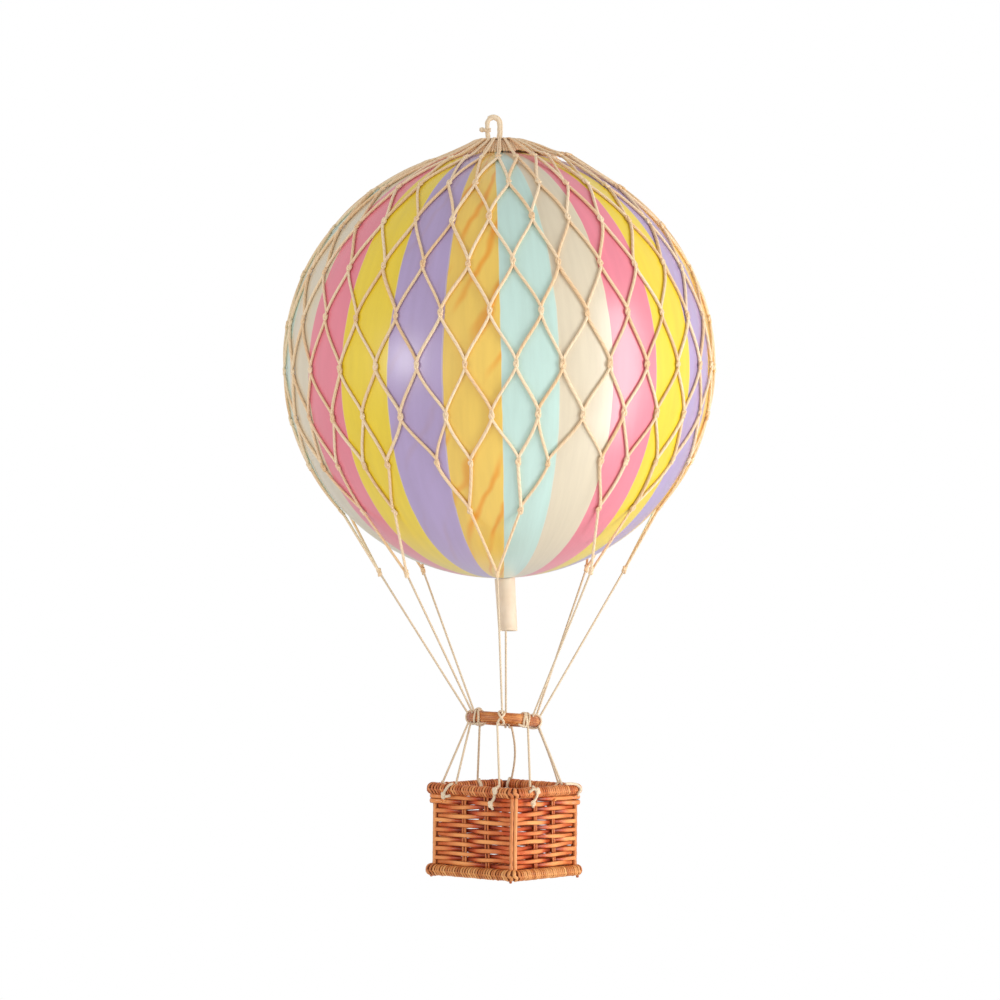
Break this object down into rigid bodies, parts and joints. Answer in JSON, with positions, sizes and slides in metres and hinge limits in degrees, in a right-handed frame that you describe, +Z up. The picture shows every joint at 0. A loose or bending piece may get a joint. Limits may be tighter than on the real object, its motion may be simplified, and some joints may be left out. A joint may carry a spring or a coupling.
{
  "type": "decorative hanging model of a hot air balloon",
  "caption": "Painted ball in a knotted cord net with a neck sleeve, a cane hoop and a square wicker basket hung below on cords.",
  "frame": {"origin": "inner top of the hanging loop, where a hook or a thread bears", "axes": "+Z up; the front, towards -Y, is the side the picture was taken from; +X to the viewer's right"},
  "size_m": [0.1858, 0.1856, 0.3216],
  "materials": {
    "painted_ball": "painted in six pastel colours and varnished",
    "cotton_cord": "twisted cotton twine",
    "pale_sleeve": "smooth, pale cream",
    "brown_cane": "satin, lengthwise grain",
    "lacquered_wicker": "woven and lacquered"
  },
  "bodies": {
    "balloon": {"envelope_ball": "painted_ball", "cord_net": "cotton_cord", "crown_gather": "cotton_cord", "hanging_loop": "cotton_cord", "neck_sleeve": "pale_sleeve", "load_cord_1": "cotton_cord", "load_cord_2": "cotton_cord", "load_cord_3": "cotton_cord", "load_cord_4": "cotton_cord", "load_cord_5": "cotton_cord", "load_cord_6": "cotton_cord", "load_cord_7": "cotton_cord", "load_cord_8": "cotton_cord"},
    "hoop": {"load_hoop": "brown_cane", "hoop_hitch_1": "cotton_cord", "hoop_hitch_2": "cotton_cord", "hoop_hitch_3": "cotton_cord", "hoop_hitch_4": "cotton_cord", "hoop_hitch_5": "cotton_cord", "hoop_hitch_6": "cotton_cord", "hoop_hitch_7": "cotton_cord", "hoop_hitch_8": "cotton_cord"},
    "basket": {"basket_cord_1": "cotton_cord", "basket_cord_2": "cotton_cord", "basket_cord_3": "cotton_cord", "basket_cord_4": "cotton_cord", "basket_cord_5": "cotton_cord", "basket_cord_6": "cotton_cord", "basket_cord_7": "cotton_cord", "basket_cord_8": "cotton_cord", "basket_rim": "lacquered_wicker", "basket_base_ring": "lacquered_wicker", "corner_post_front": "lacquered_wicker", "corner_post_right": "lacquered_wicker", "corner_post_rear": "lacquered_wicker", "corner_post_left": "lacquered_wicker", "wall_front_right": "lacquered_wicker", "wall_rear_right": "lacquered_wicker", "wall_rear_left": "lacquered_wicker", "wall_front_left": "lacquered_wicker", "basket_floor": "lacquered_wicker"}
  },
  "joints": [
    {"name": "hoop_sway", "type": "hinge", "parent": "balloon", "child": "hoop", "pos_m": [0, 0, -0.2741], "axis": [0, 1, 0], "range_deg": [-8, 8], "deforming": ["load_cord_1", "load_cord_2", "load_cord_3", "load_cord_4", "load_cord_5", "load_cord_6", "load_cord_7", "load_cord_8"]},
    {"name": "basket_sway", "type": "hinge", "parent": "hoop", "child": "basket", "pos_m": [0, 0, -0.2205], "axis": [1, 0, 0], "range_deg": [-12, 12], "deforming": ["basket_cord_1", "basket_cord_2", "basket_cord_3", "basket_cord_4", "basket_cord_5", "basket_cord_6", "basket_cord_7", "basket_cord_8"]}
  ]
}
